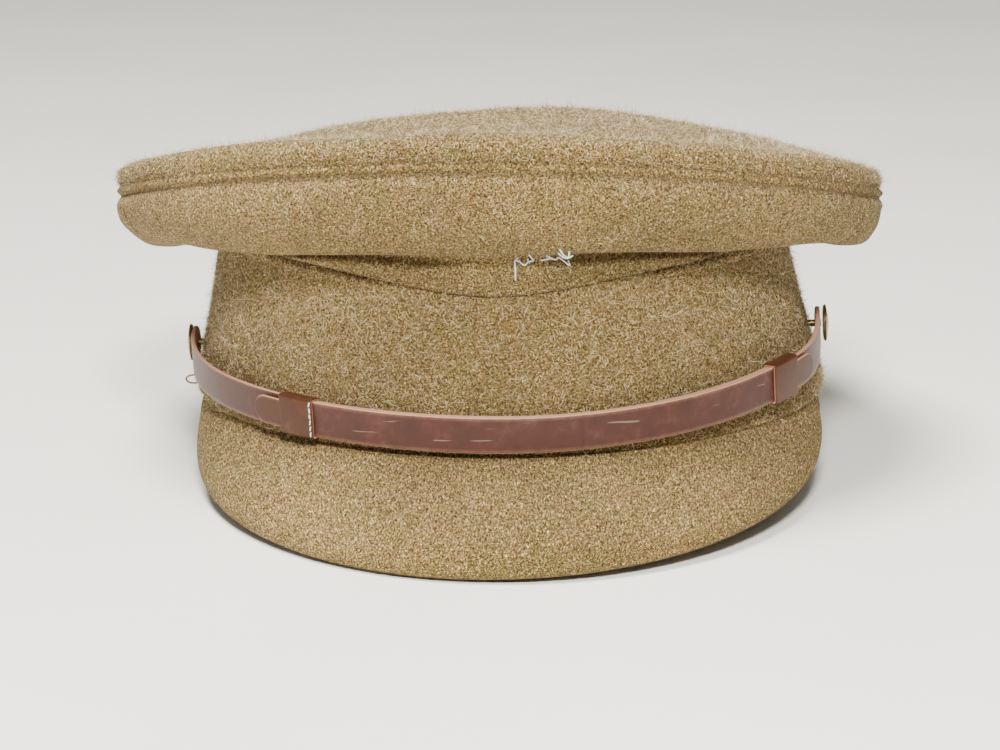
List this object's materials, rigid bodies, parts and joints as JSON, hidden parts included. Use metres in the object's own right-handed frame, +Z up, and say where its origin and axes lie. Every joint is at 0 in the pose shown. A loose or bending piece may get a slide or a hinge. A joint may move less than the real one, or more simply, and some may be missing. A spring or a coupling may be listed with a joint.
{
  "type": "military peaked cap",
  "caption": "Soft peaked cap: overhanging stuffed crown on an upright band, cloth-covered peak, and a leather chin strap that swings on two side buttons.",
  "frame": {"origin": "middle of the head opening, in the plane of the band's lower edge", "axes": "+Z up through the crown, the front and the peak face -Y, +X to the wearer's left"},
  "size_m": [0.2392, 0.2809, 0.1097],
  "materials": {
    "wool_cloth": "mottled khaki wool with a raised nap",
    "steel_wire": "plain steel",
    "lining_cotton": "glazed cotton",
    "stiff_board": "pressed board",
    "sweat_leather": "smooth tan leather",
    "strap_leather": "polished red-brown leather",
    "keeper_leather": "polished red-brown leather",
    "white_thread": "linen thread",
    "dark_wire": "dark oxidised wire",
    "button_brass": "dull aged brass",
    "brass_split_pin": "plain brass wire"
  },
  "bodies": {
    "cap": {"crown_top": "wool_cloth", "crown_side_front": "wool_cloth", "crown_side_right": "wool_cloth", "crown_side_left": "wool_cloth", "crown_side_back": "wool_cloth", "crown_welt": "wool_cloth", "crown_hoop_wire": "steel_wire", "hoop_ferrule": "steel_wire", "front_stay": "steel_wire", "crown_lining_top": "lining_cotton", "crown_lining_side": "lining_cotton", "band_cloth": "wool_cloth", "band_stiffener": "stiff_board", "sweatband": "sweat_leather", "peak_top_cloth": "wool_cloth", "peak_board": "stiff_board", "peak_under_cloth": "wool_cloth", "badge_thread_ends": "white_thread", "wire_loop": "dark_wire"},
    "chin_strap": {"strap_outer": "strap_leather", "strap_inner": "strap_leather", "keeper_right": "keeper_leather", "keeper_left": "keeper_leather", "keeper_right_stitches": "white_thread"},
    "button_right": {"button_right_shell": "button_brass", "button_right_back": "button_brass", "button_right_shank": "button_brass", "button_right_split_pin": "brass_split_pin"},
    "button_left": {"button_left_shell": "button_brass", "button_left_back": "button_brass", "button_left_shank": "button_brass", "button_left_split_pin": "brass_split_pin"}
  },
  "joints": [
    {"name": "chin_strap_swing", "type": "hinge", "parent": "cap", "child": "chin_strap", "pos_m": [-0.09802, 0, 0.0104], "axis": [-0.9994, 0, -0.0359], "range_deg": [0, 20]},
    {"name": "button_right_turn", "type": "hinge", "parent": "cap", "child": "button_right", "pos_m": [-0.09802, 0, 0.0104], "axis": [-0.9994, 0, -0.0359], "continuous": true},
    {"name": "button_left_turn", "type": "hinge", "parent": "cap", "child": "button_left", "pos_m": [0.09663, 0, 0.0174], "axis": [0.9994, 0, 0.0359], "continuous": true}
  ]
}
